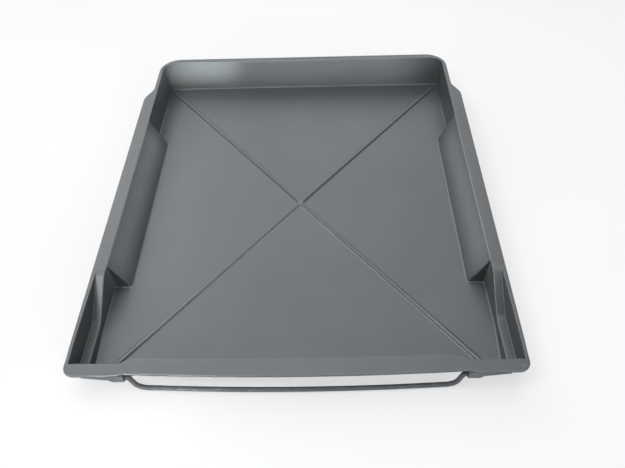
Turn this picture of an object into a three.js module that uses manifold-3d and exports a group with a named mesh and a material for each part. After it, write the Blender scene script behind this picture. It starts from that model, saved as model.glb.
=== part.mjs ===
// A wide, shallow paint roller tray with a swinging rod handle under its front rim.
// Millimetres, +Z up. The origin is on the ground under the middle of the tray:
// +Y points to the deep back wall, -Y to the handle, +X to the right.
import * as THREE from 'three';
import { mergeVertices } from 'three/addons/utils/BufferGeometryUtils.js';
import Module from 'manifold-3d';

const wasm = await Module();
wasm.setup();

// ---- Driving dimensions -------------------------------------------------
const WALL = 3;                  // thickness of the moulding
const FLOOR_HALF_WIDTH = 250;    // foot of the side walls
const FLOOR_BACK_Y = 315;        // foot of the back wall
const TOP_BACK_Y = 322;          // inner edge of the back rim
const RIM_BACK_Y = 334;          // outer edge of the back rim
const RIM_FRONT_Y = -327.8;      // outer edge of the front rim at its corners
const FRONT_SETBACK = 2.4;       // the front edge is this much further back between the brackets
const FRONT_BOW = 5;             // and bows forward by this much at the middle
const RIM_Z_BACK = 55;           // rim height at the back wall
const RIM_Z_FRONT = 43;          // rim height at the front
const RIM_HALF_WIDTH_BACK = 272; // outer edge of the wide side rim, back end
const RIM_HALF_WIDTH_FRONT = 266.5;
const NARROW_RIM_X = 259.5;      // outer edge of the narrow rim beside the back wall
const SKIRT = 7;                 // depth of the turned-down lip under the side and back rims
const NARROW_END_Y = 243;        // the side rim widens between these two
const WIDE_START_Y = 208;

const WEDGE_BACK_Y = 148;        // wedge panels run between these two
const WEDGE_FRONT_Y = -165;
const WEDGE_FOOT_BACK = 229;     // half width of the floor between the panels
const WEDGE_FOOT_FRONT = 226.5;
const JUMP = 0.6;                // two neighbouring stations that make an end face

const LEDGE_Z = 13;              // top of the low ledge in each front corner
const LEDGE_FALL_START_Y = -178; // the rim falls to the ledge between these two
const LEDGE_FALL_END_Y = -233;
const LEDGE_OUTER_X = 262;       // foot of the outer wall
const LEDGE_INNER_X = 249.5;
const POCKET_FOOT_X = 246.2;     // half width of the floor at its front corners
const WALL_TOP_BACK_X = 253;     // the side walls flare out to this at the back

const FRONT_CORNER_R = 14;
const BACK_CORNER_R = 36;        // outside corner of the back rim
const BACK_TOP_R = 20;           // inside corner at the top of the back wall
const BACK_FOOT_R = 4;           // and at its foot
const FRONT_TOP_Y = -311;        // inner edge of the front rim, at the corners
const FRONT_FOOT_Y = -303;       // foot of the front wall, at the corners
const POCKET_END_Y = -302.5;     // front end of the corner ledges
const BAND_STEP = 8.5;           // the rim is this much deeper between the brackets
const BAND_HALF_WIDTH = 188;

const RIB_WIDTH = 6;
const RIB_HEIGHT = 2.6;
const RIB_BACK = [243, 305];     // half width and depth of the X at its back ends
const RIB_FRONT = [230, -300];   // and at its front ends
const GATE_R = 5;                // moulding gate where the ribs cross

const PIVOT_Y = -322.2;          // hinge line of the rod handle
const PIVOT_Z = 30.5;
const ROD_R = 3;
const RUN_Z = 7;                 // height of the rod's straight run
const RUN_BOW = 4.2;             // the run bows forward by this much at the middle
const RUN_END_X = 170;
const LEG_FOOT_X = 185;
const LEG_TOP_X = 192.6;
const ROD_END_X = 204;
const ROD_SIDES = 14;
const ROD_STEPS = 120;

const BORE_R = 3.4;
const BORE_END_X = 205;
const BRACKET_X = 196.5;         // inner face of the brackets
const BRACKET_END_X = 244;
const BRACKET_FLAT_X = 207;      // the underside rises steeply from here to the shoulder
const BRACKET_SHOULDER = [214, 33];
const BRACKET_Y = [-327.5, -314.5];
const BRACKET_BOTTOM_Z = 25.4;
const BRACKET_NOSE_R = 5.2;      // rounding under the front, around the bore
const BRACKET_TIP_Z = 38.2;
const SCREW_X = [217, 228];      // measured from the middle of the tray
const SCREW_Y = -321;
const SCREW_R = 1.5;
const HEAD_R = 3;
const HEAD_HEIGHT = 2.2;
const SEAT_Z = 36;               // what the screw heads bear on
const SEAT_R = 3.6;
const BOSS_R = 3.4;
const BOSS_LENGTH = 1.6;
const GAP = 0.3;                 // clearance between pieces that touch

// ---- Small helpers ------------------------------------------------------
const lerp = (a, b, t) => a + (b - a) * t;
const clamp01 = (t) => Math.min(1, Math.max(0, t));
const ramp = (y, y0, y1) => clamp01((y - y0) / (y1 - y0));

const rimZ = (y) => lerp(RIM_Z_FRONT, RIM_Z_BACK, ramp(y, RIM_FRONT_Y, TOP_BACK_Y));
const frontBow = (x) => -FRONT_BOW * Math.max(0, 1 - (x / BRACKET_X) ** 2);
const frontEdgeY = (x) => (
  RIM_FRONT_Y + FRONT_SETBACK * ramp(x, BRACKET_X + 6, BRACKET_X) + frontBow(x));

function toSolid(geometry) {
  const plain = geometry.index ? geometry.clone() : mergeVertices(geometry.clone());
  plain.deleteAttribute('normal');
  plain.deleteAttribute('uv');
  const merged = mergeVertices(plain, 1e-4);
  return new wasm.Manifold(new wasm.Mesh({
    numProp: 3,
    vertProperties: new Float32Array(merged.attributes.position.array),
    triVerts: new Uint32Array(merged.index.array),
  }));
}

function toGeometry(solid) {
  const mesh = solid.getMesh();
  const geometry = new THREE.BufferGeometry();
  geometry.setAttribute('position', new THREE.BufferAttribute(mesh.vertProperties, 3));
  geometry.setIndex(new THREE.BufferAttribute(mesh.triVerts, 1));
  geometry.computeVertexNormals();
  return geometry;
}

function box(x0, x1, y0, y1, z0, z1) {
  const geometry = new THREE.BoxGeometry(x1 - x0, y1 - y0, z1 - z0);
  geometry.translate((x0 + x1) / 2, (y0 + y1) / 2, (z0 + z1) / 2);
  return toSolid(geometry);
}

function upright(radius, x, y, z0, z1, sides = 24) {
  const geometry = new THREE.CylinderGeometry(radius, radius, z1 - z0, sides);
  geometry.rotateX(Math.PI / 2);
  geometry.translate(x, y, (z0 + z1) / 2);
  return toSolid(geometry);
}

// ---- Tray body ----------------------------------------------------------
// The tray is a loft. Each station is one cut through the wall and rim, made of ten points: foot,
// inner top, ledge outer, rim inner and rim outer on top, then, underneath, lip outer, lip inner,
// lip root, wall top and foot. On a flat rim the points between its two edges lie on its face.
// Stations run round the right half, from the middle of the front to the middle of the back.
const NUDGE = 0.3;               // keeps neighbouring points of a station apart
const RIM_FACE = 4;              // the rim's inner point is this far in from its outer edge
const LIP = 3;                   // thickness of the turned-down lip

function station(top, under) {
  return [...top, ...under];
}

function rimOuterX(y) {
  const wide = lerp(RIM_HALF_WIDTH_FRONT, RIM_HALF_WIDTH_BACK, ramp(y, RIM_FRONT_Y, WIDE_START_Y));
  const step = ramp(y, WIDE_START_Y, NARROW_END_Y);
  return lerp(wide, NARROW_RIM_X, step * step * (3 - 2 * step));
}

// Half width at the top of the side wall, which flares a little towards the back.
const wallTopX = (y) => (
  lerp(LEDGE_INNER_X + 1, WALL_TOP_BACK_X, ramp(y, WEDGE_FRONT_Y, FLOOR_BACK_Y)));

function frontStation(x) {
  const inner = BAND_STEP * ramp(x, BRACKET_X + 6, BAND_HALF_WIDTH) + frontBow(x) * 0.6;
  const topY = FRONT_TOP_Y + inner;
  const footY = FRONT_FOOT_Y + inner;
  const outY = frontEdgeY(x);
  const z = RIM_Z_FRONT;
  const low = z - WALL;
  return station(
    [[x, footY, WALL], [x, topY, z], [x, outY + RIM_FACE + NUDGE, z], [x, outY + RIM_FACE, z], [x, outY, z]],
    [[x, outY, low], [x, outY + LIP, low], [x, outY + LIP + NUDGE, low], [x, topY - WALL, low],
      [x, footY - WALL, 0]],
  );
}

// The front corner: the rim turns round an arc while the wall top and foot stay at their corner.
function frontCornerStation(turn) {
  const r = FRONT_CORNER_R;
  const at = (radius, height) => [
    RIM_HALF_WIDTH_FRONT - r + radius * Math.sin(turn), RIM_FRONT_Y + r - radius * Math.cos(turn), height];
  const share = turn / (Math.PI / 2);
  const footX = POCKET_FOOT_X - 6 * (1 - share);
  const topX = LEDGE_INNER_X - 8 * (1 - share);
  const z = RIM_Z_FRONT;
  const low = z - WALL;
  return station(
    [[footX, FRONT_FOOT_Y, WALL], [topX, FRONT_TOP_Y, z], at(r - RIM_FACE - NUDGE, z), at(r - RIM_FACE, z),
      at(r, z)],
    [at(r, low), at(r - LIP, low), at(r - LIP - NUDGE, low), [topX, FRONT_TOP_Y - WALL, low],
      [footX, FRONT_FOOT_Y - WALL, 0]],
  );
}

// The closed front end of the corner pocket, where the rim drops to the ledge.
function pocketEndStation(topZ, underZ, topY, underY) {
  const outX = RIM_HALF_WIDTH_FRONT;
  const z = RIM_Z_FRONT;
  const footY = FRONT_FOOT_Y + 2 * NUDGE;
  return station(
    [[POCKET_FOOT_X, footY, WALL], [LEDGE_INNER_X, topY, topZ], [LEDGE_OUTER_X, topY, topZ],
      [LEDGE_OUTER_X + NUDGE, topY, z], [outX, topY, z]],
    [[outX, underY, underZ], [LEDGE_OUTER_X + 4 * NUDGE, underY, underZ],
      [LEDGE_OUTER_X + 2 * NUDGE, underY, underZ], [LEDGE_INNER_X + 1, underY, underZ],
      [POCKET_FOOT_X + 1, footY - WALL, 0]],
  );
}

function ledgeZ(y) {
  return lerp(LEDGE_Z, rimZ(y), ramp(y, LEDGE_FALL_END_Y, LEDGE_FALL_START_Y));
}

// One cut through a side. footX is the half width of the floor there.
function sideStation(y, footX, underY = y) {
  const outX = rimOuterX(y);
  const z = rimZ(y);
  const low = ledgeZ(y);
  const topX = wallTopX(y) - (y < WEDGE_FRONT_Y ? 1 : 0);
  const inPocket = y < LEDGE_FALL_START_Y;
  const rimIn = Math.min(outX - RIM_FACE, LEDGE_OUTER_X + NUDGE);
  const lipZ = inPocket ? Math.min(z - SKIRT, low - WALL) : z - SKIRT;
  const shelfZ = inPocket ? low - WALL : z - WALL;
  return station(
    [[footX, y, WALL], [topX, y, low], [rimIn - NUDGE, y, low], [rimIn, y, z], [outX, y, z]],
    [[outX, underY, lipZ], [rimIn + 4 * NUDGE, underY, lipZ], [rimIn + 2 * NUDGE, underY, shelfZ],
      [topX + WALL, underY, shelfZ], [footX + WALL, underY, 0]],
  );
}

function backCornerStation(turn) {
  const arc = (edgeX, edgeY, r, extra, height) => [
    edgeX - r + (r + extra) * Math.cos(turn), edgeY - r + (r + extra) * Math.sin(turn), height];
  const rim = (extra, height) => arc(NARROW_RIM_X, RIM_BACK_Y, BACK_CORNER_R, extra, height);
  const top = (extra, height) => arc(WALL_TOP_BACK_X, TOP_BACK_Y, BACK_TOP_R, extra, height);
  const foot = (extra, height) => arc(FLOOR_HALF_WIDTH, FLOOR_BACK_Y, BACK_FOOT_R, extra, height);
  const z = RIM_Z_BACK;
  return station(
    [foot(0, WALL), top(0, z), rim(-RIM_FACE, z), rim(NUDGE - RIM_FACE, z), rim(0, z)],
    [rim(0, z - SKIRT), rim(-LIP, z - SKIRT), rim(-LIP - NUDGE, z - WALL), top(NUDGE, z - WALL),
      foot(WALL, 0)],
  );
}

function backStation(x) {
  const out = RIM_BACK_Y;
  const z = RIM_Z_BACK;
  return station(
    [[x, FLOOR_BACK_Y, WALL], [x, TOP_BACK_Y, z], [x, out - RIM_FACE, z], [x, out - RIM_FACE + NUDGE, z],
      [x, out, z]],
    [[x, out, z - SKIRT], [x, out - LIP, z - SKIRT], [x, out - LIP - NUDGE, z - WALL],
      [x, TOP_BACK_Y + WALL, z - WALL], [x, FLOOR_BACK_Y + WALL, 0]],
  );
}

function rightHalfStations() {
  const wedgeFoot = (y) => lerp(WEDGE_FOOT_FRONT, WEDGE_FOOT_BACK, ramp(y, WEDGE_FRONT_Y, WEDGE_BACK_Y));
  const pocketFoot = (y) => lerp(POCKET_FOOT_X, FLOOR_HALF_WIDTH, ramp(y, FRONT_FOOT_Y, LEDGE_FALL_END_Y));
  const quarterTurn = [0, 1, 2, 3, 4, 5, 6].map((i) => (i * Math.PI) / 12);
  const frontX = [0, 50, 95, 135, 165, BAND_HALF_WIDTH, BRACKET_X, BRACKET_X + 6, 225, 238];
  const low = RIM_Z_FRONT - WALL;
  const pocket = [
    pocketEndStation(RIM_Z_FRONT, low, FRONT_TOP_Y - NUDGE, FRONT_TOP_Y - WALL),
    pocketEndStation(LEDGE_Z, LEDGE_Z - WALL, POCKET_END_Y, POCKET_END_Y - WALL + NUDGE),
    ...[-295, -265, LEDGE_FALL_END_Y, -205, LEDGE_FALL_START_Y].map((y) => sideStation(y, pocketFoot(y))),
  ];
  const front = WEDGE_FRONT_Y;
  const back = WEDGE_BACK_Y;
  const wedge = [
    sideStation(front - JUMP, FLOOR_HALF_WIDTH, front - JUMP + WALL),
    sideStation(front, wedgeFoot(front), front + WALL),
    ...[-60, 50].map((y) => sideStation(y, wedgeFoot(y))),
    sideStation(back, wedgeFoot(back), back - WALL),
    sideStation(back + JUMP, FLOOR_HALF_WIDTH, back + JUMP - WALL),
  ];
  const narrowing = [0, 0.25, 0.5, 0.75, 1].map((t) => lerp(WIDE_START_Y, NARROW_END_Y, t));
  return [
    ...frontX.map(frontStation), ...quarterTurn.map(frontCornerStation), ...pocket, ...wedge,
    ...[...narrowing, 290].map((y) => sideStation(y, FLOOR_HALF_WIDTH)),
    ...quarterTurn.map(backCornerStation), ...[150, 0].map(backStation),
  ];
}

// The whole ring of stations: the right half, then its mirror image without the two shared ends.
function allStations() {
  const right = rightHalfStations();
  const left = right.slice(1, -1).reverse().map((cut) => cut.map(([x, y, z]) => [-x, y, z]));
  return [...right, ...left];
}

function loftedShell() {
  const stations = allStations();
  const count = stations.length;
  const ring = stations[0].length;
  const positions = stations.flat(2);
  const index = [];
  for (let s = 0; s < count; s += 1) {
    const next = (s + 1) % count;
    for (let k = 0; k < ring - 1; k += 1) {
      const a = s * ring + k;
      const b = next * ring + k;
      index.push(a, a + 1, b + 1, a, b + 1, b);
    }
  }
  const outline = (k) => stations.map((cut) => new THREE.Vector2(cut[k][0], cut[k][1]));
  for (const [a, b, c] of THREE.ShapeUtils.triangulateShape(outline(0), [])) {
    index.push(a * ring, b * ring, c * ring);
  }
  const last = ring - 1;
  for (const [a, b, c] of THREE.ShapeUtils.triangulateShape(outline(last), [])) {
    index.push(a * ring + last, c * ring + last, b * ring + last);
  }
  const geometry = new THREE.BufferGeometry();
  geometry.setAttribute('position', new THREE.BufferAttribute(new Float32Array(positions), 3));
  geometry.setIndex(index);
  return toSolid(geometry);
}

// One straight rib of the X, a low bead with sloping flanks.
function floorRib(x0, y0, x1, y1) {
  const length = Math.hypot(x1 - x0, y1 - y0);
  const section = new THREE.Shape();
  section.moveTo(-RIB_WIDTH / 2, -1);
  section.lineTo(RIB_WIDTH / 2, -1);
  section.lineTo(RIB_WIDTH / 2, 0.4);
  section.lineTo(RIB_WIDTH / 4, RIB_HEIGHT);
  section.lineTo(-RIB_WIDTH / 4, RIB_HEIGHT);
  section.lineTo(-RIB_WIDTH / 2, 0.4);
  const geometry = new THREE.ExtrudeGeometry(section, { depth: length, bevelEnabled: false });
  geometry.rotateX(Math.PI / 2);
  geometry.rotateZ(Math.atan2(y1 - y0, x1 - x0) + Math.PI / 2);
  geometry.translate(x0, y0, WALL);
  return toSolid(geometry);
}

function trayBody() {
  const [backX, backY] = RIB_BACK;
  const [frontX, frontY] = RIB_FRONT;
  const crossY = lerp(backY, frontY, backX / (backX + frontX));
  let solid = loftedShell()
    .add(floorRib(-backX, backY, frontX, frontY))
    .add(floorRib(backX, backY, -frontX, frontY))
    .add(upright(GATE_R, 0, crossY, WALL - 1, WALL + RIB_HEIGHT + 0.5, 28));
  const plateZ = RIM_Z_FRONT - WALL;
  for (const x of [...SCREW_X, ...SCREW_X.map((v) => -v)]) {
    const pilot = upright(SCREW_R + GAP, x, SCREW_Y, plateZ - BOSS_LENGTH - 1, plateZ + 1.4);
    solid = solid.add(upright(BOSS_R, x, SCREW_Y, plateZ - BOSS_LENGTH, plateZ + 1)).subtract(pilot);
  }
  return toGeometry(solid);
}

// ---- Brackets, screws and handle ---------------------------------------
// A block round the rod end, whose underside rises to a thin outer end. Two screws hold it up
// under the rim, over small bosses that it fits round.
function bracket(side) {
  const top = RIM_Z_FRONT - WALL - GAP;
  const outline = new THREE.Shape();
  outline.moveTo(BRACKET_X, BRACKET_BOTTOM_Z + 2);
  outline.quadraticCurveTo(BRACKET_X, BRACKET_BOTTOM_Z, BRACKET_X + 2, BRACKET_BOTTOM_Z);
  outline.lineTo(BRACKET_FLAT_X, BRACKET_BOTTOM_Z);
  outline.lineTo(...BRACKET_SHOULDER);
  outline.lineTo(BRACKET_END_X, BRACKET_TIP_Z);
  outline.lineTo(BRACKET_END_X, top);
  outline.lineTo(BRACKET_X, top);
  const depth = BRACKET_Y[1] - BRACKET_Y[0];
  const block = new THREE.ExtrudeGeometry(outline, { depth, bevelEnabled: false, curveSegments: 5 });
  block.rotateX(Math.PI / 2);
  block.translate(0, BRACKET_Y[1], 0);
  const boreLength = BORE_END_X - BRACKET_X + 1;
  const bore = new THREE.CylinderGeometry(BORE_R, BORE_R, boreLength, 28);
  bore.rotateZ(Math.PI / 2);
  bore.translate(BORE_END_X - boreLength / 2, PIVOT_Y, PIVOT_Z);
  const nose = new THREE.CylinderGeometry(BRACKET_NOSE_R, BRACKET_NOSE_R, BRACKET_END_X - BRACKET_X + 2, 48);
  nose.rotateZ(Math.PI / 2);
  nose.translate((BRACKET_X + BRACKET_END_X) / 2, PIVOT_Y, PIVOT_Z);
  const underFront = box(
    BRACKET_X - 1, BRACKET_END_X + 1, BRACKET_Y[0] - 1, PIVOT_Y, BRACKET_BOTTOM_Z - 1, PIVOT_Z);
  let solid = toSolid(block).subtract(underFront.subtract(toSolid(nose))).subtract(toSolid(bore));
  for (const x of SCREW_X) {
    solid = solid
      .subtract(upright(BOSS_R + GAP, x, SCREW_Y, top - BOSS_LENGTH, top + 1))
      .subtract(upright(SCREW_R + GAP, x, SCREW_Y, SEAT_Z - 1, top))
      .subtract(upright(SEAT_R, x, SCREW_Y, BRACKET_BOTTOM_Z - 1, SEAT_Z));
  }
  return toGeometry(side > 0 ? solid : solid.mirror([1, 0, 0]));
}

// A pan-head screw, head down, with a cross recess.
function screw(side, x) {
  const seat = SEAT_Z - GAP;
  const tip = RIM_Z_FRONT - WALL + 1;
  const head = seat - HEAD_HEIGHT;
  const profile = [
    [0, head], [HEAD_R - 1.1, head + 0.2], [HEAD_R - 0.2, head + 1], [HEAD_R, seat], [SCREW_R, seat],
    [SCREW_R, tip - 1], [0, tip],
  ].map(([r, z]) => new THREE.Vector2(r, z));
  const body = new THREE.LatheGeometry(profile, 24);
  body.rotateX(Math.PI / 2);
  body.translate(side * x, SCREW_Y, 0);
  const recess = (w, d) => box(
    side * x - w, side * x + w, SCREW_Y - d, SCREW_Y + d, head - 1, head + HEAD_HEIGHT / 2);
  return toGeometry(toSolid(body).subtract(recess(1.5, 0.35)).subtract(recess(0.35, 1.5)));
}

// Centre line of the rod, from its left end to its right end: a bowed run, a bend up into each
// leg, and a bend out of each leg into the bracket.
function rodPath() {
  const at = (x, y, z) => new THREE.Vector3(x, y, z);
  const half = (side) => {
    const legFoot = at(side * LEG_FOOT_X, PIVOT_Y, RUN_Z);
    const legTop = at(side * LEG_TOP_X, PIVOT_Y, PIVOT_Z);
    return {
      runEnd: at(side * RUN_END_X, PIVOT_Y, RUN_Z),
      legFoot,
      legLow: legFoot.clone().lerp(legTop, 0.45),
      legHigh: legFoot.clone().lerp(legTop, 0.82),
      legTop,
      endInner: at(side * (BRACKET_X + GAP), PIVOT_Y, PIVOT_Z),
      end: at(side * ROD_END_X, PIVOT_Y, PIVOT_Z),
    };
  };
  const left = half(-1);
  const right = half(1);
  const path = new THREE.CurvePath();
  path.add(new THREE.LineCurve3(left.end, left.endInner));
  path.add(new THREE.QuadraticBezierCurve3(left.endInner, left.legTop, left.legHigh));
  path.add(new THREE.LineCurve3(left.legHigh, left.legLow));
  path.add(new THREE.QuadraticBezierCurve3(left.legLow, left.legFoot, left.runEnd));
  // A parabola through the two run ends, RUN_BOW forward at its middle.
  const bowed = at(0, PIVOT_Y - 2 * RUN_BOW, RUN_Z);
  path.add(new THREE.QuadraticBezierCurve3(left.runEnd, bowed, right.runEnd));
  path.add(new THREE.QuadraticBezierCurve3(right.runEnd, right.legFoot, right.legLow));
  path.add(new THREE.LineCurve3(right.legLow, right.legHigh));
  path.add(new THREE.QuadraticBezierCurve3(right.legHigh, right.legTop, right.endInner));
  path.add(new THREE.LineCurve3(right.endInner, right.end));
  return path;
}

function handleBail() {
  const section = new THREE.Shape();
  section.absarc(0, 0, ROD_R, 0, Math.PI * 2);
  const settings = { steps: ROD_STEPS, curveSegments: ROD_SIDES / 2, extrudePath: rodPath() };
  return toGeometry(toSolid(new THREE.ExtrudeGeometry(section, settings)));
}

// ---- Materials and assembly --------------------------------------------
const materials = {
  tray: new THREE.MeshStandardMaterial({ color: 0x6f7577, roughness: 0.45, metalness: 0 }),
  bracket: new THREE.MeshStandardMaterial({ color: 0x5c6263, roughness: 0.5, metalness: 0 }),
  rod: new THREE.MeshStandardMaterial({ color: 0x3c4246, roughness: 0.4, metalness: 0.3 }),
  screw: new THREE.MeshStandardMaterial({ color: 0x8b9093, roughness: 0.35, metalness: 1 }),
};

function named(name, geometry, material) {
  const mesh = new THREE.Mesh(geometry, material);
  mesh.name = name;
  return mesh;
}

const tray = new THREE.Group();
tray.add(named('tray_body', trayBody(), materials.tray));
tray.add(named('handle_bail', handleBail(), materials.rod));
for (const [word, side] of [['left', -1], ['right', 1]]) {
  tray.add(named(`handle_bracket_${word}`, bracket(side), materials.bracket));
  tray.add(named(`bracket_screw_${word}_inner`, screw(side, SCREW_X[0]), materials.screw));
  tray.add(named(`bracket_screw_${word}_outer`, screw(side, SCREW_X[1]), materials.screw));
}

export default tray;
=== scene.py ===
"""A wide moulded paint roller tray with a swinging rod handle, built round its CAD frame.

The tray's lengths are millimetres until a mesh is written, where MM turns them into metres.
The studio and the materials are in metres.
+Y points to the deep back wall, -Y to the handle, +X to the right, +Z up.
"""

import math

import bmesh
import bpy
from mathutils import Matrix, Vector


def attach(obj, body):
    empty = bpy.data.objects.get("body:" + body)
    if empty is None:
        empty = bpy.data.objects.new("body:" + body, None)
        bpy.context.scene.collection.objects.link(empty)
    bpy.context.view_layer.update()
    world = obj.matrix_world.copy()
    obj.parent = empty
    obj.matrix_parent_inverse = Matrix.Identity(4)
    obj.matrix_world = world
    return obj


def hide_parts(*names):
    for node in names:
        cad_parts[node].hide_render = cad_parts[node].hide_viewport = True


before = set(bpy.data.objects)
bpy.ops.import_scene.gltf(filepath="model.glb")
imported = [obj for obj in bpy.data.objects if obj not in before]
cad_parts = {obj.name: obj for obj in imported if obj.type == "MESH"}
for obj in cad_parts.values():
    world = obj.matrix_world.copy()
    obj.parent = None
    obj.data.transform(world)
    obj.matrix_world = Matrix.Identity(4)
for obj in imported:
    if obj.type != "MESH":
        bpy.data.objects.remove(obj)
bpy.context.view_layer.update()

MM = 0.001

# ---- Driving dimensions, as in the CAD model ---------------------------------
WALL = 3.0
FLOOR_HALF_WIDTH = 250.0
FLOOR_BACK_Y = 315.0
TOP_BACK_Y = 322.0
RIM_BACK_Y = 334.0
RIM_FRONT_Y = -327.8
FRONT_SETBACK = 2.4
FRONT_BOW = 5.0
RIM_Z_BACK = 55.0
RIM_Z_FRONT = 43.0
RIM_HALF_WIDTH_BACK = 272.0
RIM_HALF_WIDTH_FRONT = 266.5
NARROW_RIM_X = 259.5
SKIRT = 7.0
NARROW_END_Y = 243.0
WIDE_START_Y = 208.0
WEDGE_BACK_Y = 148.0
WEDGE_FRONT_Y = -165.0
WEDGE_FOOT_BACK = 229.0
WEDGE_FOOT_FRONT = 226.5
LEDGE_Z = 13.0
LEDGE_FALL_START_Y = -178.0
LEDGE_FALL_END_Y = -233.0
LEDGE_OUTER_X = 262.0
LEDGE_INNER_X = 249.5
FRONT_CORNER_R = 14.0
BACK_CORNER_R = 36.0
BACK_TOP_R = 20.0
FRONT_TOP_Y = -311.0
FRONT_FOOT_Y = -303.0
POCKET_END_Y = -302.5
BAND_STEP = 8.5
BAND_HALF_WIDTH = 188.0
POCKET_FOOT_X = 246.2
WALL_TOP_BACK_X = 253.0
BRACKET_X = 196.5
RIB_HEIGHT = 2.6
RIB_BACK = (243.0, 305.0)
RIB_FRONT = (230.0, -300.0)
GATE_R = 5.0
PIVOT_Y = -322.2
PIVOT_Z = 30.5
ROD_R = 3.0
RUN_Z = 7.0
RUN_BOW = 4.2
RUN_END_X = 170.0
LEG_FOOT_X = 185.0
LEG_TOP_X = 192.6
ROD_END_X = 204.0
SCREW_X = (217.0, 228.0)
SCREW_Y = -321.0
BOSS_R = 3.4
BOSS_LENGTH = 1.6

# ---- Front rim, in plan ------------------------------------------------------
STEP_END_X = BRACKET_X + 6.0
BOW_INSIDE = 0.6
CORNER_TOP_X = 241.0

# ---- Rim flange, measured in from its outer edge -----------------------------
FRONT_LEDGE_INSET = 6.0
FRONT_RIM_INSET = 4.0
FRONT_CORNER_RIM_INSET = 4.2
FRONT_LIP_INSET = 3.0
FRONT_ROOT_INSET = 4.5
BACK_LEDGE_INSET = 4.5
BACK_RIM_INSET = 3.5
BACK_CORNER_LEDGE_INSET = 3.7
BACK_CORNER_RIM_INSET = 3.0
BACK_LIP_INSET = 2.4
BACK_ROOT_INSET = 2.6
BACK_CORNER_WALL = 1.6
SIDE_RIM_WIDTH = 4.0

# ---- Side rim, measured out from its inner edge ------------------------------
POCKET_DRAFT = 0.3
SIDE_LIP_OUT = 1.8
SIDE_ROOT_OUT = 0.9

# ---- Front end of a pocket, where the front wall's foot meets the side's -----
POCKET_FOOT_GAP = 0.6
POCKET_BASE_OUT = 1.2
POCKET_BASE_GAP = 0.3

# ---- Where the tray's loft is cut, besides its corners -----------------------
BOW_END_X = 180
BOW_CUT_STEP = 12
FRONT_LAST_X = 222.0
POCKET_CUT_Y = -290.0
WEDGE_CUT_YS = (-60.0, 50.0)
SIDE_LAST_Y = 270.0
BACK_CUT_XS = (120.0, 0.0)
QUARTER_STEPS = 12
NARROWING_STEPS = 14

# ---- Roundings that only the visual model has --------------------------------
FOOT_FILLET = 2.2
PLAN_FILLET = 3.2
BAND_END_ROUND = 5.0
BRACKET_ROUND = 3.0
STEP_END_ROUND = 4.0
POCKET_ROUND = 1.4
FALL_END_ROUND = 7.0
FALL_START_ROUND = 6.0
WEDGE_ROUND = 3.0
ALONG_STEPS = 4
ACROSS_STEPS = 3
# How far a cut is taken to run on level past its two ends, to round them: over the floor, and below.
FLOOR_LEAD = 9
BASE_LEAD = 12

# ---- Ribs, rod and its bends -------------------------------------------------
# A rib is a little wider here than in the CAD model.
RIB_WIDTH = 7.0
# The ribs and the button are sunk into the floor, and their outer edge stands just clear of it.
SINK = 0.6
EDGE_HEIGHT = 0.02
RIB_FLARE = 1.2
RIB_TAPER = 6
RIB_END_HEIGHT = 0.35
RUN_STEP = 10
LEG_BEND_LOW = 0.45
LEG_BEND_HIGH = 0.82
BEND_STEPS = 14
ROD_SIDES = 28
BOSS_SIDES = 32

# ---- Mesh clean-up -----------------------------------------------------------
MERGE_GAP = 0.02
SLIVER = 0.01
CAD_MERGE_GAP = 0.005
CAD_FLAT_DEGREES = 0.5
BEVEL_DEGREES = 32
BEVEL_SEGMENTS = 3


def lerp(a, b, t):
    return a + (b - a) * t


def ramp(value, start, end):
    return min(1.0, max(0.0, (value - start) / (end - start)))


def rim_z(y):
    return lerp(RIM_Z_FRONT, RIM_Z_BACK, ramp(y, RIM_FRONT_Y, TOP_BACK_Y))


# ---- Rounded lofts -----------------------------------------------------------
# A loft is a list of cuts, each cut a list of control points. Both directions are rounded by
# swapping a control point for a short curve that starts and ends at most `radius` away from it.
# NEAR_HALF keeps two neighbouring curves from meeting.
NEAR_HALF = 0.48


def bezier(start, middle, end, t):
    return start * (1 - t) ** 2 + middle * (2 * t * (1 - t)) + end * t ** 2


def corner(before, point, after, radius, steps):
    def toward(other):
        gap = (other - point).length
        return point.lerp(other, min(NEAR_HALF, radius / gap)) if gap > 1e-6 else point.copy()
    start, end = toward(before), toward(after)
    return [bezier(start, point, end, i / steps) for i in range(steps + 1)]


def rounded(points, radii, steps, closed):
    out = []
    last = len(points) - 1
    for i, (point, radius) in enumerate(zip(points, radii)):
        ends = not closed and i in (0, last)
        if radius == 0 or ends:
            out.append(point.copy())
        else:
            out += corner(points[i - 1], point, points[(i + 1) % len(points)], radius, steps)
    return out


def tube_faces(rings, count):
    """The quads between rings of count points each, and a cap at either end."""
    faces = []
    for s in range(rings - 1):
        for k in range(count):
            n = (k + 1) % count
            faces.append((s * count + k, s * count + n, (s + 1) * count + n, (s + 1) * count + k))
    return faces + [list(range(count))[::-1], list(range((rings - 1) * count, rings * count))]


def shade_smooth(bm, mesh):
    """Writes the edited faces back to the mesh, shaded smooth."""
    for face in bm.faces:
        face.smooth = True
    bm.to_mesh(mesh)
    bm.free()


def mesh_object(name, verts, faces):
    """An object of its own, from points in millimetres."""
    mesh = bpy.data.meshes.new(name)
    mesh.from_pydata([tuple(v * MM) for v in verts], [], faces)
    bm = bmesh.new()
    bm.from_mesh(mesh)
    bmesh.ops.remove_doubles(bm, verts=bm.verts, dist=MERGE_GAP * MM)
    bmesh.ops.dissolve_degenerate(bm, edges=bm.edges, dist=SLIVER * MM)
    bmesh.ops.recalc_face_normals(bm, faces=bm.faces)
    shade_smooth(bm, mesh)
    obj = bpy.data.objects.new(name, mesh)
    bpy.context.collection.objects.link(obj)
    return obj


# ---- Tray body ---------------------------------------------------------------
# Control points of a cut: foot, wall top, ledge outer, rim inner, rim outer, then underneath:
# lip outer, lip inner, lip root, wall top, foot.
ACROSS_RADII = [FOOT_FILLET, 1.6, 1.2, 1.1, 1.5, 0.9, 0.8, 0.6, 2.0, 4.5]


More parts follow.
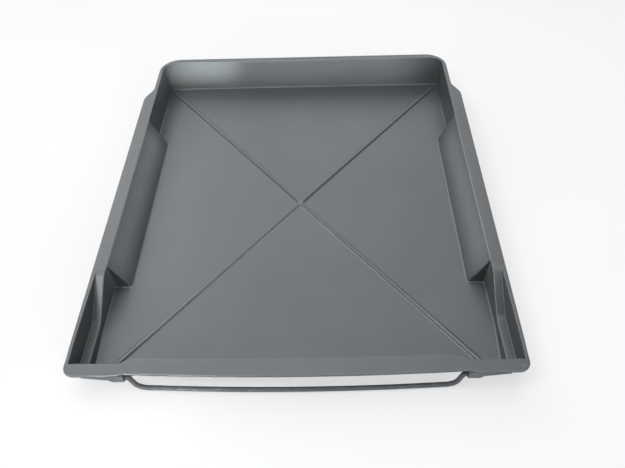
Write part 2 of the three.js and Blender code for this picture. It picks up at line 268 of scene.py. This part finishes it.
def cut(turn_radius, *points):
    return turn_radius, [Vector(p) for p in points]


def rim_outer_x(y):
    wide = lerp(RIM_HALF_WIDTH_FRONT, RIM_HALF_WIDTH_BACK, ramp(y, RIM_FRONT_Y, WIDE_START_Y))
    step = ramp(y, WIDE_START_Y, NARROW_END_Y)
    return lerp(wide, NARROW_RIM_X, step * step * (3 - 2 * step))


def wall_top_x(y):
    return lerp(LEDGE_INNER_X + 1, WALL_TOP_BACK_X, ramp(y, WEDGE_FRONT_Y, FLOOR_BACK_Y))


def front_cut(x, radius=0.0):
    bow = -FRONT_BOW * max(0.0, 1 - (x / BRACKET_X) ** 2)
    step = BAND_STEP * ramp(x, STEP_END_X, BAND_HALF_WIDTH)
    top_y = FRONT_TOP_Y + step + bow * BOW_INSIDE
    foot_y = FRONT_FOOT_Y + step + bow * BOW_INSIDE
    out_y = RIM_FRONT_Y + FRONT_SETBACK * ramp(x, STEP_END_X, BRACKET_X) + bow
    z = RIM_Z_FRONT
    low = z - WALL
    return cut(
        radius, (x, foot_y, WALL), (x, top_y, z), (x, out_y + FRONT_LEDGE_INSET, z),
        (x, out_y + FRONT_RIM_INSET, z), (x, out_y, z), (x, out_y, low), (x, out_y + FRONT_LIP_INSET, low),
        (x, out_y + FRONT_ROOT_INSET, low), (x, top_y - WALL, low), (x, foot_y - WALL, 0))


def front_corner_cut(turn):
    z = RIM_Z_FRONT
    low = z - WALL
    r = FRONT_CORNER_R
    cx = RIM_HALF_WIDTH_FRONT - r
    cy = RIM_FRONT_Y + r
    share = turn / (math.pi / 2)
    foot_x = POCKET_FOOT_X - PLAN_FILLET * (1 - math.sin(turn))
    foot_y = FRONT_FOOT_Y + PLAN_FILLET * (1 - math.cos(turn))
    top_x = lerp(CORNER_TOP_X, LEDGE_INNER_X, share)

    def at(radius, height):
        return cx + radius * math.sin(turn), cy - radius * math.cos(turn), height
    return cut(
        0.0, (foot_x, foot_y, WALL), (top_x, FRONT_TOP_Y, z), at(r - FRONT_LEDGE_INSET, z),
        at(r - FRONT_CORNER_RIM_INSET, z), at(r, z), at(r, low), at(r - FRONT_LIP_INSET, low),
        at(r - FRONT_ROOT_INSET, low), (top_x, FRONT_TOP_Y - WALL, low), (foot_x, foot_y - WALL, 0))


def pocket_end_cut(top_z, under_z, top_y, under_y):
    out = RIM_HALF_WIDTH_FRONT
    z = RIM_Z_FRONT
    foot_x = POCKET_FOOT_X
    foot_y = FRONT_FOOT_Y + PLAN_FILLET + POCKET_FOOT_GAP
    return cut(
        POCKET_ROUND, (foot_x, foot_y, WALL), (LEDGE_INNER_X, top_y, top_z), (LEDGE_OUTER_X, top_y, top_z),
        (LEDGE_OUTER_X + POCKET_DRAFT, top_y, z), (out, top_y, z), (out, under_y, under_z),
        (LEDGE_OUTER_X + SIDE_LIP_OUT, under_y, under_z), (LEDGE_OUTER_X + SIDE_ROOT_OUT, under_y, under_z),
        (LEDGE_INNER_X + 1, under_y, under_z),
        (foot_x + POCKET_BASE_OUT, foot_y - WALL + POCKET_BASE_GAP, 0))


def side_cut(y, foot_x, radius=0.0, under_y=None):
    under_y = y if under_y is None else under_y
    out = rim_outer_x(y)
    z = rim_z(y)
    low = lerp(LEDGE_Z, z, ramp(y, LEDGE_FALL_END_Y, LEDGE_FALL_START_Y))
    top_x = max(wall_top_x(y), LEDGE_INNER_X)
    pocket = y < LEDGE_FALL_START_Y
    rim_in = min(out - SIDE_RIM_WIDTH, LEDGE_OUTER_X + POCKET_DRAFT)
    lip_z = min(z - SKIRT, low - WALL) if pocket else z - SKIRT
    shelf_z = low - WALL if pocket else z - WALL
    return cut(
        radius, (foot_x, y, WALL), (top_x, y, low), (rim_in - POCKET_DRAFT, y, low), (rim_in, y, z),
        (out, y, z), (out, under_y, lip_z), (rim_in + SIDE_LIP_OUT, under_y, lip_z),
        (rim_in + SIDE_ROOT_OUT, under_y, shelf_z), (top_x + WALL, under_y, shelf_z),
        (foot_x + WALL, under_y, 0))


def back_corner_cut(turn):
    z = RIM_Z_BACK
    r = BACK_CORNER_R

    def arc(edge_x, edge_y, corner_r, extra, height):
        return (edge_x - corner_r + (corner_r + extra) * math.cos(turn),
                edge_y - corner_r + (corner_r + extra) * math.sin(turn), height)

    def rim(extra, height):
        return arc(NARROW_RIM_X, RIM_BACK_Y, r, extra, height)
    return cut(
        0.0, arc(FLOOR_HALF_WIDTH, FLOOR_BACK_Y, PLAN_FILLET, 0, WALL),
        arc(WALL_TOP_BACK_X, TOP_BACK_Y, BACK_TOP_R, 0, z), rim(-BACK_CORNER_LEDGE_INSET, z),
        rim(-BACK_CORNER_RIM_INSET, z), rim(0, z), rim(0, z - SKIRT), rim(-BACK_LIP_INSET, z - SKIRT),
        rim(-BACK_ROOT_INSET, z - WALL),
        arc(WALL_TOP_BACK_X, TOP_BACK_Y, BACK_TOP_R, BACK_CORNER_WALL, z - WALL),
        arc(FLOOR_HALF_WIDTH, FLOOR_BACK_Y, PLAN_FILLET, WALL, 0))


def back_cut(x):
    z = RIM_Z_BACK
    out = RIM_BACK_Y
    return cut(
        0.0, (x, FLOOR_BACK_Y, WALL), (x, TOP_BACK_Y, z), (x, out - BACK_LEDGE_INSET, z),
        (x, out - BACK_RIM_INSET, z), (x, out, z), (x, out, z - SKIRT), (x, out - BACK_LIP_INSET, z - SKIRT),
        (x, out - BACK_ROOT_INSET, z - WALL), (x, TOP_BACK_Y + WALL, z - WALL), (x, FLOOR_BACK_Y + WALL, 0))


def right_half():
    """The cuts from the middle of the front, round the right side, to the middle of the back."""
    def wedge_foot(y):
        return lerp(WEDGE_FOOT_FRONT, WEDGE_FOOT_BACK, ramp(y, WEDGE_FRONT_Y, WEDGE_BACK_Y))

    def pocket_foot(y):
        return lerp(POCKET_FOOT_X, FLOOR_HALF_WIDTH, ramp(y, FRONT_FOOT_Y, LEDGE_FALL_END_Y))
    quarter = [math.pi / 2 * i / QUARTER_STEPS for i in range(QUARTER_STEPS + 1)]
    cuts = [front_cut(x) for x in range(0, BOW_END_X, BOW_CUT_STEP)]
    cuts.append(front_cut(BAND_HALF_WIDTH, BAND_END_ROUND))
    cuts.append(front_cut(BRACKET_X, BRACKET_ROUND))
    cuts.append(front_cut(STEP_END_X, STEP_END_ROUND))
    cuts.append(front_cut(FRONT_LAST_X))
    cuts += [front_corner_cut(turn) for turn in quarter]
    cuts.append(pocket_end_cut(RIM_Z_FRONT, RIM_Z_FRONT - WALL, FRONT_TOP_Y, FRONT_TOP_Y - WALL))
    cuts.append(pocket_end_cut(LEDGE_Z, LEDGE_Z - WALL, POCKET_END_Y, POCKET_END_Y - WALL))
    cuts.append(side_cut(POCKET_CUT_Y, pocket_foot(POCKET_CUT_Y)))
    cuts.append(side_cut(LEDGE_FALL_END_Y, FLOOR_HALF_WIDTH, FALL_END_ROUND))
    cuts.append(side_cut(LEDGE_FALL_START_Y, FLOOR_HALF_WIDTH, FALL_START_ROUND))
    y0, y1 = WEDGE_FRONT_Y, WEDGE_BACK_Y
    cuts.append(side_cut(y0, FLOOR_HALF_WIDTH, PLAN_FILLET, y0 + WALL))
    cuts.append(side_cut(y0, wedge_foot(y0), WEDGE_ROUND, y0 + WALL))
    cuts += [side_cut(y, wedge_foot(y)) for y in WEDGE_CUT_YS]
    cuts.append(side_cut(y1, wedge_foot(y1), WEDGE_ROUND, y1 - WALL))
    cuts.append(side_cut(y1, FLOOR_HALF_WIDTH, PLAN_FILLET, y1 - WALL))
    for i in range(NARROWING_STEPS + 1):
        y = lerp(WIDE_START_Y, NARROW_END_Y, i / NARROWING_STEPS)
        cuts.append(side_cut(y, FLOOR_HALF_WIDTH))
    cuts.append(side_cut(SIDE_LAST_Y, FLOOR_HALF_WIDTH))
    cuts += [back_corner_cut(turn) for turn in quarter]
    cuts += [back_cut(x) for x in BACK_CUT_XS]
    return cuts


def refined_ring(cuts):
    """Rounds the ring of cuts along its length, one control line at a time."""
    radii = [radius for radius, _ in cuts]
    rows = range(len(cuts[0][1]))
    lines = [rounded([points[k] for _, points in cuts], radii, ALONG_STEPS, True) for k in rows]
    return [list(points) for points in zip(*lines)]


NEIGHBOURS = 8
SAME_PLACE = 0.3


def inward(ring, i, k):
    """The level direction that points into the tray, square to line k of the ring at cut i."""
    here = ring[i][k].xy

    def neighbour(step):
        """The nearest point that way along the ring that isn't on top of this one."""
        points = (ring[(i + step * j) % len(ring)][k].xy for j in range(1, NEIGHBOURS + 1))
        return next((point for point in points if (point - here).length > SAME_PLACE), here)
    ahead, behind = neighbour(1), neighbour(-1)
    along = ((ahead - here).normalized() + (here - behind).normalized()).normalized()
    return Vector((-along.y, along.x, 0))


def tray_shell():
    """The tray without its ribs, button and bosses: every cut of the ring, rounded and joined up."""
    right = right_half()
    left = [(radius, [Vector((-p.x, p.y, p.z)) for p in points]) for radius, points in right[1:-1]]
    ring = refined_ring(right + left[::-1])
    profile = []
    last = len(ring[0]) - 1
    for i, points in enumerate(ring):
        before = points[0] + inward(ring, i, 0) * FLOOR_LEAD
        after = points[last] + inward(ring, i, last) * BASE_LEAD
        line = rounded([before, *points, after], [0, *ACROSS_RADII, 0], ACROSS_STEPS, False)
        profile.append(line[1:-1])
    rows = len(profile[0])
    verts = [p for line in profile for p in line]
    faces = []
    for s in range(len(profile)):
        here, ahead = s * rows, ((s + 1) % len(profile)) * rows
        faces += [(here + k, here + k + 1, ahead + k + 1, ahead + k) for k in range(rows - 1)]
    faces.append([s * rows for s in range(len(profile))][::-1])
    faces.append([s * rows + rows - 1 for s in range(len(profile))])
    return mesh_object("tray_body_shell", verts, faces)


def floor_rib(name, start, end):
    """A low bead with a flat crown, whose feet flare out into the floor."""
    half, top = RIB_WIDTH / 2, WALL + RIB_HEIGHT
    outline = [(-half - RIB_FLARE, WALL - SINK), (-half - RIB_FLARE, WALL + EDGE_HEIGHT),
               (-half + 0.2, WALL + 0.25), (-half + 0.9, WALL + 1.1), (-half + 1.5, top - 0.5),
               (-half + 2.3, top)]
    outline += [(-x, z) for x, z in outline[::-1]]
    a, b = Vector((*start, 0)), Vector((*end, 0))
    along = (b - a).normalized()
    side = Vector((along.y, -along.x, 0))
    verts = []
    taper = along * RIB_TAPER
    places = ((a, RIB_END_HEIGHT), (a + taper, 1.0), (b - taper, 1.0), (b, RIB_END_HEIGHT))
    for place, squeeze in places:
        verts += [place + side * x + Vector((0, 0, lerp(WALL - SINK / 2, z, squeeze))) for x, z in outline]
    return mesh_object(name, verts, tube_faces(len(places), len(outline)))


def turned(name, x, y, outline, sides=48):
    """A solid of revolution about an upright axis, from (radius, height) pairs, axis to axis."""
    verts = []
    for r, z in outline[1:-1]:
        verts += [Vector((x + r * math.cos(math.tau * i / sides), y + r * math.sin(math.tau * i / sides), z))
                  for i in range(sides)]
    return mesh_object(name, verts, tube_faces(len(outline) - 2, sides))


def gate_button(y):
    """The round mark where the plastic was let into the mould, on the crossing of the ribs."""
    top = WALL + RIB_HEIGHT
    return turned("gate_button", 0, y, [
        (0, WALL - SINK), (GATE_R + 0.6, WALL - SINK), (GATE_R + 0.6, WALL + EDGE_HEIGHT),
        (GATE_R, WALL + 0.4), (GATE_R - 0.4, top - 0.2), (GATE_R - 1.0, top + 0.3), (2.2, top + 0.4),
        (1.7, top - 0.2), (1.2, top - 0.5), (0, top - 0.5)])


def screw_boss(side, x):
    """A short round boss under the front rim, which a bracket is screwed up against."""
    plate = RIM_Z_FRONT - WALL
    end = plate - BOSS_LENGTH
    return turned(f"boss_{side}_{x}", side * x, SCREW_Y, [
        (0, end), (1.8, end), (BOSS_R - 0.4, end), (BOSS_R, end + 0.4), (BOSS_R, plate - 0.4),
        (BOSS_R, plate + 1.0), (0, plate + 1.0)], BOSS_SIDES)


def united(base, parts, name):
    """One closed mesh from several that overlap."""
    for part in parts:
        mod = base.modifiers.new("join", "BOOLEAN")
        mod.operation, mod.solver, mod.object = "UNION", "EXACT", part
    depsgraph = bpy.context.evaluated_depsgraph_get()
    mesh = bpy.data.meshes.new_from_object(base.evaluated_get(depsgraph))
    mesh.name = name
    whole = bpy.data.objects.new(name, mesh)
    bpy.context.collection.objects.link(whole)
    for used in [base, *parts]:
        bpy.data.objects.remove(used, do_unlink=True)
    return whole


def tray_body():
    back_x, back_y = RIB_BACK
    front_x, front_y = RIB_FRONT
    cross_y = lerp(back_y, front_y, back_x / (back_x + front_x))
    parts = [floor_rib("rib_a", (-back_x, back_y), (front_x, front_y)),
             floor_rib("rib_b", (back_x, back_y), (-front_x, front_y)), gate_button(cross_y)]
    parts += [screw_boss(side, x) for side in (-1, 1) for x in SCREW_X]
    body = united(tray_shell(), parts, "tray_moulding")
    flat = body.modifiers.new("flat_faces", "WEIGHTED_NORMAL")
    flat.weight = 90
    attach(body, "tray")
    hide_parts("tray_body")
    return body


# ---- Rod handle --------------------------------------------------------------
def bend(start, middle, end):
    """A smooth bend from start towards end, without its last point."""
    return [bezier(start, middle, end, i / BEND_STEPS) for i in range(BEND_STEPS)]


def rod_centre_line():
    """Right half of the rod, from the middle of the run to the end in the bracket."""
    run = [Vector((x, PIVOT_Y - RUN_BOW * (1 - (x / RUN_END_X) ** 2), RUN_Z))
           for x in range(0, int(RUN_END_X), RUN_STEP)]
    run_end = Vector((RUN_END_X, PIVOT_Y, RUN_Z))
    leg_foot, leg_top = Vector((LEG_FOOT_X, PIVOT_Y, RUN_Z)), Vector((LEG_TOP_X, PIVOT_Y, PIVOT_Z))
    leg_low, leg_high = leg_foot.lerp(leg_top, LEG_BEND_LOW), leg_foot.lerp(leg_top, LEG_BEND_HIGH)
    end_inner = Vector((BRACKET_X + 0.3, PIVOT_Y, PIVOT_Z))
    bends = bend(run_end, leg_foot, leg_low) + bend(leg_high, leg_top, end_inner)
    return run + bends + [end_inner, Vector((ROD_END_X, PIVOT_Y, PIVOT_Z))]


def rod_handle():
    right = rod_centre_line()
    line = [Vector((-p.x, p.y, p.z)) for p in right[:0:-1]] + right
    verts = []
    for i, point in enumerate(line):
        along = (line[min(i + 1, len(line) - 1)] - line[max(i - 1, 0)]).normalized()
        across = (Vector((0, 1, 0)) - along * along.y).normalized()
        up = along.cross(across)
        for k in range(ROD_SIDES):
            turn = math.tau * k / ROD_SIDES
            verts.append(point + (across * math.cos(turn) + up * math.sin(turn)) * ROD_R)
    rod = mesh_object("rod_handle", verts, tube_faces(len(line), ROD_SIDES))
    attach(rod, "handle")
    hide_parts("handle_bail")
    return rod


# ---- Brackets and screws -----------------------------------------------------
def softened(node, name, width):
    """A copy of a CAD solid with its sharp edges rounded."""
    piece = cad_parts[node].copy()
    piece.data = piece.data.copy()
    for key in [k for k in piece.keys() if k.startswith("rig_")]:
        del piece[key]
    piece.name = name
    piece.data.name = name
    bpy.context.collection.objects.link(piece)
    bm = bmesh.new()
    bm.from_mesh(piece.data)
    bmesh.ops.remove_doubles(bm, verts=bm.verts, dist=CAD_MERGE_GAP * MM)
    bmesh.ops.dissolve_limit(
        bm, angle_limit=math.radians(CAD_FLAT_DEGREES), verts=bm.verts, edges=bm.edges)
    shade_smooth(bm, piece.data)
    bevel = piece.modifiers.new("edges", "BEVEL")
    bevel.width, bevel.segments = width * MM, BEVEL_SEGMENTS
    bevel.limit_method, bevel.angle_limit = "ANGLE", math.radians(BEVEL_DEGREES)
    bevel.harden_normals = True
    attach(piece, "tray")
    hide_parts(node)
    return piece


# ---- Materials ---------------------------------------------------------------
class Nodes:
    """A small helper that adds and links shader nodes in one tree."""

    def __init__(self, name):
        self.material = bpy.data.materials.new(name)
        self.material.use_nodes = True
        self.tree = self.material.node_tree
        self.shader = self.tree.nodes["Principled BSDF"]
        self.place = self.add("ShaderNodeTexCoord").outputs["Object"]

    def add(self, kind, **settings):
        node = self.tree.nodes.new(kind)
        for key, value in settings.items():
            setattr(node, key, value)
        return node

    def join(self, out, socket):
        self.tree.links.new(out, socket)

    def noise(self, scale, detail=3.0, roughness=0.5, stretch=None):
        node = self.add("ShaderNodeTexNoise")
        node.inputs["Scale"].default_value = scale
        node.inputs["Detail"].default_value = detail
        node.inputs["Roughness"].default_value = roughness
        place = self.place
        if stretch:
            mapping = self.add("ShaderNodeMapping")
            mapping.inputs["Scale"].default_value = stretch
            self.join(place, mapping.inputs["Vector"])
            place = mapping.outputs["Vector"]
        self.join(place, node.inputs["Vector"])
        return node.outputs["Fac"]

    def scaled(self, value, low, high, out_low, out_high):
        node = self.add("ShaderNodeMapRange")
        ends = {"From Min": low, "From Max": high, "To Min": out_low, "To Max": out_high}
        for socket, number in ends.items():
            node.inputs[socket].default_value = number
        self.join(value, node.inputs["Value"])
        return node.outputs["Result"]

    def blend(self, fac, a, b):
        node = self.add("ShaderNodeMix", data_type="RGBA")
        self.join(fac, node.inputs["Factor"])
        for socket, colour in ((node.inputs[6], a), (node.inputs[7], b)):
            if isinstance(colour, tuple):
                socket.default_value = (*colour, 1)
            else:
                self.join(colour, socket)
        return node.outputs[2]

    def maths(self, operation, a, b):
        node = self.add("ShaderNodeMath", operation=operation)
        for socket, value in ((node.inputs[0], a), (node.inputs[1], b)):
            if isinstance(value, (int, float)):
                socket.default_value = value
            else:
                self.join(value, socket)
        return node.outputs[0]

    def bump(self, height, strength, distance, before=None):
        node = self.add("ShaderNodeBump")
        node.inputs["Strength"].default_value = strength
        node.inputs["Distance"].default_value = distance
        self.join(height, node.inputs["Height"])
        if before:
            self.join(before, node.inputs["Normal"])
        return node.outputs["Normal"]

    def edges(self, low, high):
        """1 on the outer edges of the shape, falling to 0 on its flat faces."""
        geometry = self.add("ShaderNodeNewGeometry")
        return self.scaled(geometry.outputs["Pointiness"], low, high, 0.0, 1.0)


def moulded_plastic(name, dark, light, worn, roughness, grain=1.0):
    """Satin moulded plastic: cloudy colour, fine mould texture, a little rub on the edges."""
    n = Nodes(name)
    cloud = n.scaled(n.noise(6.0, 4.0, 0.6), 0.35, 0.65, 0.0, 1.0)
    speck = n.scaled(n.noise(420.0, 2.0), 0.35, 0.65, 0.0, 1.0)
    tone = n.blend(cloud, dark, light)
    fine = n.blend(n.maths("MULTIPLY", speck, 0.35), tone, light)
    rub = n.maths("MULTIPLY", n.edges(0.51, 0.58), n.scaled(n.noise(38.0, 4.0), 0.3, 0.7, 0.25, 1.0))
    n.join(n.blend(rub, fine, worn), n.shader.inputs["Base Color"])
    scuff = n.scaled(n.noise(9.0, 6.0, 0.65, (1.0, 0.25, 1.0)), 0.3, 0.7, -0.05, 0.06)
    wear = n.maths("ADD", scuff, n.scaled(speck, 0.0, 1.0, roughness - 0.02, roughness + 0.03))
    n.join(wear, n.shader.inputs["Roughness"])
    n.shader.inputs["Specular IOR Level"].default_value = 1.0
    n.shader.inputs["Specular Tint"].default_value = (0.90, 0.97, 1.0, 1)
    swell = n.bump(n.noise(7.0, 2.0), 0.25 * grain, 0.0012)
    texture = n.bump(n.noise(1400.0, 3.0, 0.6), 0.16 * grain, 0.00025, swell)
    n.join(texture, n.shader.inputs["Normal"])
    return n.material


def powder_coat(name, dark, light, worn):
    """Painted steel rod: orange-peel paint, rubbed a little paler where it is handled."""
    n = Nodes(name)
    cloud = n.scaled(n.noise(30.0, 4.0), 0.35, 0.65, 0.0, 1.0)
    tone = n.blend(cloud, dark, light)
    rub = n.scaled(n.noise(55.0, 5.0, 0.6), 0.52, 0.75, 0.0, 0.6)
    n.join(n.blend(rub, tone, worn), n.shader.inputs["Base Color"])
    n.join(n.scaled(cloud, 0.0, 1.0, 0.46, 0.56), n.shader.inputs["Roughness"])
    n.shader.inputs["Specular IOR Level"].default_value = 0.3
    n.join(n.bump(n.noise(900.0, 2.0), 0.2, 0.0002), n.shader.inputs["Normal"])
    return n.material


def zinc_plate(name):
    """Zinc-plated steel: metal with a faint mottle and turned grain."""
    n = Nodes(name)
    mottle = n.scaled(n.noise(260.0, 4.0), 0.35, 0.65, 0.0, 1.0)
    n.join(n.blend(mottle, (0.42, 0.43, 0.44), (0.58, 0.58, 0.56)), n.shader.inputs["Base Color"])
    n.shader.inputs["Metallic"].default_value = 1.0
    n.join(n.scaled(mottle, 0.0, 1.0, 0.28, 0.45), n.shader.inputs["Roughness"])
    n.join(n.bump(n.noise(1500.0, 2.0), 0.15, 0.0001), n.shader.inputs["Normal"])
    return n.material


def paint(piece, material):
    piece.data.materials.clear()
    piece.data.materials.append(material)


# ---- Studio ------------------------------------------------------------------
FLOOR_GLOW = 0.61
FLOOR_REACH = 6.0
FLOOR_DROP = 0.0002


def studio_floor():
    """A grey ground that glows, so that it looks near white, with a faint shadow round the tray."""
    mesh = bpy.data.meshes.new("studio_floor")
    reach = FLOOR_REACH
    mesh.from_pydata([(-reach, -reach, 0), (reach, -reach, 0), (reach, reach, 0), (-reach, reach, 0)], [],
                     [(0, 1, 2, 3)])
    floor = bpy.data.objects.new("studio_floor", mesh)
    floor.location.z = -FLOOR_DROP
    bpy.context.collection.objects.link(floor)
    n = Nodes("pale_floor")
    tone = n.scaled(n.noise(2.0, 2.0), 0.3, 0.7, 0.0, 1.0)
    n.join(n.blend(tone, (0.25, 0.25, 0.252), (0.27, 0.27, 0.27)), n.shader.inputs["Base Color"])
    n.shader.inputs["Roughness"].default_value = 0.9
    n.shader.inputs["Specular IOR Level"].default_value = 0.1
    n.shader.inputs["Emission Color"].default_value = (0.98, 0.985, 1.0, 1)
    n.shader.inputs["Emission Strength"].default_value = FLOOR_GLOW
    paint(floor, n.material)


def soft_light(name, place, aim, size, power, spread=180, glossy=True):
    data = bpy.data.lights.new(name, "AREA")
    data.shape = "RECTANGLE"
    data.size, data.size_y = size
    data.energy = power
    data.spread = math.radians(spread)
    light = bpy.data.objects.new(name, data)
    light.location = place
    light.rotation_euler = (Vector(aim) - Vector(place)).to_track_quat("-Z", "Y").to_euler()
    light.visible_camera = False
    light.visible_glossy = glossy
    bpy.context.collection.objects.link(light)


def studio_light():
    """A bright surround, large soft boxes, and narrow reflector cards for single faces."""
    world = bpy.data.worlds.new("studio")
    world.use_nodes = True
    background = world.node_tree.nodes["Background"]
    background.inputs["Color"].default_value = (0.93, 0.96, 1.0, 1)
    background.inputs["Strength"].default_value = 0.235
    bpy.context.scene.world = world
    middle = (0, 0, 0)
    soft_light("overhead", (0.0, 0.2, 2.6), middle, (2.0, 2.0), 25)
    soft_light("overhead_wide", (0.0, 0.8, 2.4), middle, (3.4, 3.0), 12)
    soft_light("behind", (0.0, 2.3, 1.7), middle, (2.4, 1.6), 17)
    soft_light("behind_left", (-1.7, 1.7, 1.7), middle, (1.6, 1.6), 23)
    soft_light("behind_low", (0.0, 2.6, 0.7), middle, (3.0, 0.8), 5)
    soft_light("front_left", (-1.6, -2.2, 1.2), middle, (1.4, 1.4), 4)
    soft_light("front_right", (1.6, -2.2, 1.2), middle, (1.4, 1.4), 36)
    soft_light("edge_card", (-0.42, -0.85, 0.16), (-0.17, -0.328, 0.041), (0.15, 0.05), 0.14, 30)
    soft_light(
        "wall_card", (-0.01, 0.13, 0.05), (-0.01, 0.33, 0.045), (0.44, 0.02), 0.175, 34, glossy=False)
    soft_light(
        "wall_card_left", (-0.17, 0.13, 0.05), (-0.19, 0.33, 0.045), (0.12, 0.02), 0.085, 26, glossy=False)
    for side in (-1, 1):
        place, aim = (0.06 * side, -0.015, 0.075), (0.24 * side, -0.015, 0.035)
        soft_light("panel_card", place, aim, (0.30, 0.02), 0.082, 22, glossy=False)
    soft_light("above_left", (-0.89, -0.76, 1.62), (-0.26, -0.20, 0.0), (0.7, 0.7), 17)


CAMERA_PLACE = (0.03775, -0.6975, 0.65398)
CAMERA_DEGREES = (46.10, -1.782, -2.218)
CAMERA_LENS = 35.71


def camera():
    """Looks down at the tray from in front of the handle."""
    pitch, yaw, roll = (math.radians(angle) for angle in CAMERA_DEGREES)
    ahead = Vector((math.sin(yaw) * math.cos(pitch), math.cos(yaw) * math.cos(pitch), -math.sin(pitch)))
    level = Vector((math.cos(yaw), -math.sin(yaw), 0))
    up = level.cross(ahead)
    right = level * math.cos(roll) + up * math.sin(roll)
    top = up * math.cos(roll) - level * math.sin(roll)
    data = bpy.data.cameras.new("camera")
    data.sensor_width = 36.0
    data.lens = CAMERA_LENS
    data.clip_start, data.clip_end = 0.01, 50
    eye = bpy.data.objects.new("camera", data)
    turn = Matrix((right, top, -ahead)).transposed().to_4x4()
    eye.matrix_world = Matrix.Translation(CAMERA_PLACE) @ turn
    bpy.context.collection.objects.link(eye)
    bpy.context.scene.camera = eye


# ---- Assembly ----------------------------------------------------------------
camera()
studio_floor()
studio_light()
bpy.context.scene.view_settings.view_transform = "Standard"

plastic = moulded_plastic(
    "tray_plastic", dark=(0.036, 0.040, 0.041), light=(0.047, 0.051, 0.052),
    worn=(0.13, 0.135, 0.135), roughness=0.42)
bracket_plastic = moulded_plastic(
    "bracket_plastic", dark=(0.024, 0.027, 0.031), light=(0.032, 0.036, 0.040),
    worn=(0.07, 0.075, 0.08), roughness=0.50, grain=0.8)
coat = powder_coat(
    "rod_paint", dark=(0.070, 0.078, 0.083), light=(0.092, 0.101, 0.107), worn=(0.16, 0.17, 0.175))
zinc = zinc_plate("zinc_plate")

paint(tray_body(), plastic)
paint(rod_handle(), coat)
for word in ("left", "right"):
    block = softened(f"handle_bracket_{word}", f"bracket_block_{word}", 0.7)
    paint(block, bracket_plastic)
    for row in ("inner", "outer"):
        node = f"bracket_screw_{word}_{row}"
        paint(softened(node, f"pan_head_{word}_{row}", 0.12), zinc)

bpy.context.view_layer.update()
